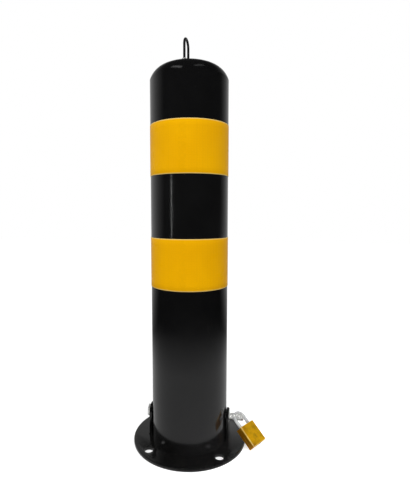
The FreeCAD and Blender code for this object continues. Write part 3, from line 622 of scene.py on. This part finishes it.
class BOLLARD_OT_bands(bpy.types.Operator):
    """Two reflective bands"""

    bl_idname = "bollard.bands"
    bl_label = "Reflective Bands"
    bl_options = {"REGISTER", "UNDO"}

    def execute(self, context):
        for node in ("band_lower", "band_upper"):
            low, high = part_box(node)
            film = reflective_film(low.z, high.z)
            outer, inner = high.x, COLUMN_RADIUS + FILM_GAP
            rise = (high.z - low.z - 2 * FILM_LIP) / FILM_STEPS
            profile = [(inner, low.z), (outer - FILM_LIP, low.z)]
            profile += [(outer, low.z + FILM_LIP + rise * i) for i in range(FILM_STEPS + 1)]
            profile += [(outer - FILM_LIP, high.z), (inner, high.z)]
            film_ring = lathe(f"{node}_film", profile, FILM_SEGMENTS, film)
            smooth(film_ring, 50.0)
            finish_piece(film_ring, "column", "yellow_film", node)
        return {"FINISHED"}


class BOLLARD_OT_loop(bpy.types.Operator):
    """Lifting loop with rolled threads, nuts and washers"""

    bl_idname = "bollard.loop"
    bl_label = "Lifting Loop"
    bl_options = {"REGISTER", "UNDO"}

    def execute(self, context):
        zinc, dark = zinc_plate(), dark_steel()
        size = sizes()
        low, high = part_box("lifting_loop")
        turn = Matrix.Rotation(size.loop_turn, 4, "Z")
        half = size.loop_spacing / 2
        leg = high.z - low.z - half - size.loop_rod
        rod = grow("lifting_loop_rod", rod_tree(), {"Rod radius": size.loop_rod, "Spacing": size.loop_spacing,
                                                    "Leg": leg, "Material": dark})
        merge_points(rod)
        move_mesh(rod, Matrix.Translation((size.loop_offset, 0.0, low.z)) @ turn)
        smooth(rod, 50.0)
        thread_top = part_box("loop_nuts_outer")[1].z + THREAD_PAST_NUT
        threads = grow("lifting_loop_threads", thread_tree(), {
            "Root radius": size.loop_rod, "Outer radius": size.thread_radius, "Pitch": size.thread_pitch,
            "Length": thread_top - low.z - THREAD_CLEARANCE, "Spacing": size.loop_spacing, "Material": dark})
        move_mesh(threads, Matrix.Translation((size.loop_offset, 0.0, low.z + THREAD_START)) @ turn)
        smooth(threads, 30.0)
        finish_piece(rod, "column", "dark_steel", "lifting_loop")
        finish_piece(threads, "column", "dark_steel")
        for node in ("loop_nuts_outer", "loop_nuts_inner", "loop_washers_outer", "loop_washers_inner"):
            dressed(node, "column", zinc, "zinc_plate", FASTENER_ROUND)
        return {"FINISHED"}


class BOLLARD_OT_pin(bpy.types.Operator):
    """Cross pin with its hexagon head"""

    bl_idname = "bollard.pin"
    bl_label = "Cross Pin"
    bl_options = {"REGISTER", "UNDO"}

    def execute(self, context):
        dressed("locking_pin", "pin", zinc_plate(), "zinc_plate", PIN_ROUND)
        return {"FINISHED"}


class BOLLARD_OT_padlock(bpy.types.Operator):
    """Padlock case, shackle, key plug and latch"""

    bl_idname = "bollard.padlock"
    bl_label = "Padlock"
    bl_options = {"REGISTER", "UNDO"}

    def execute(self, context):
        made = {"lock_brass": brushed_brass(), "shackle_chrome": bright_chrome(), "lock_steel": plain_steel()}
        slots = {row["node"]: row["material_slot"] for row in frame["record"]["subparts"]}
        case = rounded(merged_copy("padlock_case", "padlock_case_dressed", made["lock_brass"]), CASE_CHAMFER,
                       segments=1)
        smooth(case, 25.0)
        finish_piece(case, "case", "lock_brass", "padlock_case")
        bodies = frame["record"]["behaviour"]["bodies"]
        works = [node for body in ("case", "shackle", "plug", "latch") for node in bodies[body]]
        works.remove("padlock_case")
        for node in works:
            paint_node(node, made[slots[node]])
        return {"FINISHED"}


def look_at(obj, target):
    """Point a lamp at a place."""
    obj.rotation_mode = "QUATERNION"
    obj.rotation_quaternion = (Vector(target) - obj.location).to_track_quat("-Z", "Y")


def add_lamp(name, azimuth, distance, height, width, tall, power, target):
    """An area lamp placed by its angle from the camera's side of the object, clockwise seen from above."""
    remove_old(name)
    lamp = bpy.data.objects.new(name, bpy.data.lights.new(name, "AREA"))
    bpy.context.scene.collection.objects.link(lamp)
    lamp.data.shape = "RECTANGLE"
    lamp.data.size = width
    lamp.data.size_y = tall
    lamp.data.energy = power
    lamp.visible_camera = False
    a = CAMERA_AZIMUTH + math.radians(azimuth)
    lamp.location = (distance * math.sin(a), -distance * math.cos(a), height)
    look_at(lamp, target)
    return lamp


def studio_world(forward):
    """White behind the object, dark behind the camera, an even grey for soft light."""
    world = bpy.data.worlds.new("studio")
    bpy.context.scene.world = world
    world.use_nodes = True
    tree = world.node_tree
    tree.nodes.clear()
    rays = tree.nodes.new("ShaderNodeLightPath").outputs
    direction = tree.nodes.new("ShaderNodeTexCoord").outputs["Generated"]
    ahead = add_node(tree, "ShaderNodeVectorMath", {0: direction, 1: forward}, operation="DOT_PRODUCT")
    # In reflections, brighter towards the back and darker towards the top
    behind = spread(tree, ahead.outputs["Value"], 0.02, 0.5, 0.0, 0.72)
    height = add_node(tree, "ShaderNodeSeparateXYZ", {"Vector": direction}).outputs["Z"]
    below = spread(tree, height, 1.0, 0.05, 0.35, 0.75)
    shown = add_node(tree, "ShaderNodeMath", {0: behind, 1: below}, operation="MULTIPLY").outputs[0]
    soft = add_node(tree, "ShaderNodeBackground", {"Color": SOFT_GREY, "Strength": SOFT_STRENGTH})
    seen = add_node(tree, "ShaderNodeBackground", {"Color": WHITE, "Strength": shown})
    white = add_node(tree, "ShaderNodeBackground", {"Color": WHITE, "Strength": 1.0})
    glossy = add_node(tree, "ShaderNodeMixShader", {0: rays["Is Glossy Ray"], 1: soft.outputs[0], 2: seen.outputs[0]})
    straight = add_node(tree, "ShaderNodeMath", {0: rays["Is Camera Ray"], 1: rays["Is Transmission Ray"]},
                        operation="MAXIMUM").outputs[0]
    final = add_node(tree, "ShaderNodeMixShader", {0: straight, 1: glossy.outputs[0], 2: white.outputs[0]})
    add_node(tree, "ShaderNodeOutputWorld", {"Surface": final.outputs[0]})


def floor_finish(forward):
    """White floor that keeps the object's shadow and fades out of the reflections far in front."""
    material = bpy.data.materials.get("studio_floor") or bpy.data.materials.new("studio_floor")
    material.use_nodes = True
    tree = material.node_tree
    tree.nodes.clear()
    rays = tree.nodes.new("ShaderNodeLightPath").outputs
    place = tree.nodes.new("ShaderNodeTexCoord").outputs["Object"]
    ahead = add_node(tree, "ShaderNodeVectorMath", {0: place, 1: forward}, operation="DOT_PRODUCT")
    away = add_node(tree, "ShaderNodeVectorMath", {0: place}, operation="LENGTH").outputs["Value"]
    # In reflections, lit close round the plate and far behind it
    beyond = spread(tree, ahead.outputs["Value"], 0.0, 0.5, 0.2, 1.2)
    lit = add_node(tree, "ShaderNodeMath", {0: spread(tree, away, 0.5, 0.0, 0.32, 0.64), 1: beyond},
                   operation="MAXIMUM").outputs[0]
    bounce = add_node(tree, "ShaderNodeMath", {0: rays["Is Diffuse Ray"], 1: FLOOR_BOUNCE - FLOOR_WHITE,
                                               2: FLOOR_WHITE}, operation="MULTIPLY_ADD").outputs[0]
    body = add_node(tree, "ShaderNodeBsdfDiffuse", {"Color": bounce})
    glow = add_node(tree, "ShaderNodeEmission", {"Color": WHITE, "Strength": FLOOR_GLOW})
    seen = add_node(tree, "ShaderNodeAddShader", {0: body.outputs[0], 1: glow.outputs[0]})
    mirrored = add_node(tree, "ShaderNodeEmission", {"Color": WHITE, "Strength": lit})
    first = add_node(tree, "ShaderNodeMixShader", {0: rays["Is Glossy Ray"], 1: body.outputs[0],
                                                   2: mirrored.outputs[0]})
    final = add_node(tree, "ShaderNodeMixShader", {0: rays["Is Camera Ray"], 1: first.outputs[0], 2: seen.outputs[0]})
    add_node(tree, "ShaderNodeOutputMaterial", {"Surface": final.outputs[0]})
    return material


class BOLLARD_OT_stage(bpy.types.Operator):
    """White floor, soft lamps, studio background and the camera"""

    bl_idname = "bollard.stage"
    bl_label = "Studio"
    bl_options = {"REGISTER", "UNDO"}

    def execute(self, context):
        scene = bpy.context.scene
        scene.view_settings.view_transform = "Standard"
        forward = Vector((-math.sin(CAMERA_AZIMUTH), math.cos(CAMERA_AZIMUTH), 0.0))
        studio_world(Matrix.Rotation(MIRRORED_TURN, 3, "Z") @ forward)
        mesh = bpy.data.meshes.new("floor")
        corners = [(x * FLOOR_REACH, y * FLOOR_REACH, -FLOOR_DROP) for x, y in ((-1, -1), (1, -1), (1, 1), (-1, 1))]
        mesh.from_pydata(corners, [], [(0, 1, 2, 3)])
        place_mesh("floor", mesh, floor_finish(forward))
        for name, settings in LAMPS.items():
            lamp = add_lamp(name, *settings)
            lamp.visible_glossy = name not in UNMIRRORED_LAMPS
            if name == "lamp_lock":
                lamp.data.spread = LOCK_BEAM
        remove_old("camera")
        camera = bpy.data.objects.new("camera", bpy.data.cameras.new("camera"))
        scene.collection.objects.link(camera)
        camera.data.sensor_width = SENSOR
        camera.data.lens = CAMERA_FOCAL / FRAME_HEIGHT * SENSOR
        camera.data.shift_x, camera.data.shift_y = CAMERA_SHIFT
        camera.data.clip_start, camera.data.clip_end = 0.01, 50.0
        camera.matrix_world = (Matrix.Rotation(CAMERA_AZIMUTH, 4, "Z") @ Matrix.Translation(CAMERA_PLACE)
                               @ Matrix.Rotation(math.radians(90.0 - CAMERA_TILT), 4, "X"))
        scene.camera = camera
        return {"FINISHED"}


OPERATORS = (BOLLARD_OT_base, BOLLARD_OT_column, BOLLARD_OT_bands, BOLLARD_OT_loop, BOLLARD_OT_pin,
             BOLLARD_OT_padlock, BOLLARD_OT_stage)


class BOLLARD_PT_panel(bpy.types.Panel):
    """Sizes, finishes and building steps of the bollard"""

    bl_idname = "BOLLARD_PT_panel"
    bl_label = "Removable Bollard"
    bl_space_type = "VIEW_3D"
    bl_region_type = "UI"
    bl_category = "Bollard"

    def draw(self, context):
        for group in (context.scene.bollard_sizes, context.scene.bollard_finishes):
            box = self.layout.box()
            for name in group.__annotations__:
                box.prop(group, name)
        for operator in OPERATORS:
            self.layout.operator(operator.bl_idname)


CLASSES = (BollardSizes, BollardFinishes, *OPERATORS, BOLLARD_PT_panel)


def register():
    """Make the properties, the operators and the panel known."""
    for cls in CLASSES:
        bpy.utils.register_class(cls)
    bpy.types.Scene.bollard_sizes = bpy.props.PointerProperty(type=BollardSizes)
    bpy.types.Scene.bollard_finishes = bpy.props.PointerProperty(type=BollardFinishes)


def unregister():
    """Take them out again."""
    del bpy.types.Scene.bollard_finishes
    del bpy.types.Scene.bollard_sizes
    for cls in reversed(CLASSES):
        bpy.utils.unregister_class(cls)


def main():
    """Build the bollard and its studio."""
    register()
    bpy.ops.bollard.base()
    bpy.ops.bollard.column()
    bpy.ops.bollard.bands()
    bpy.ops.bollard.loop()
    bpy.ops.bollard.pin()
    bpy.ops.bollard.padlock()
    bpy.ops.bollard.stage()


if __name__ == "__main__":
    main()
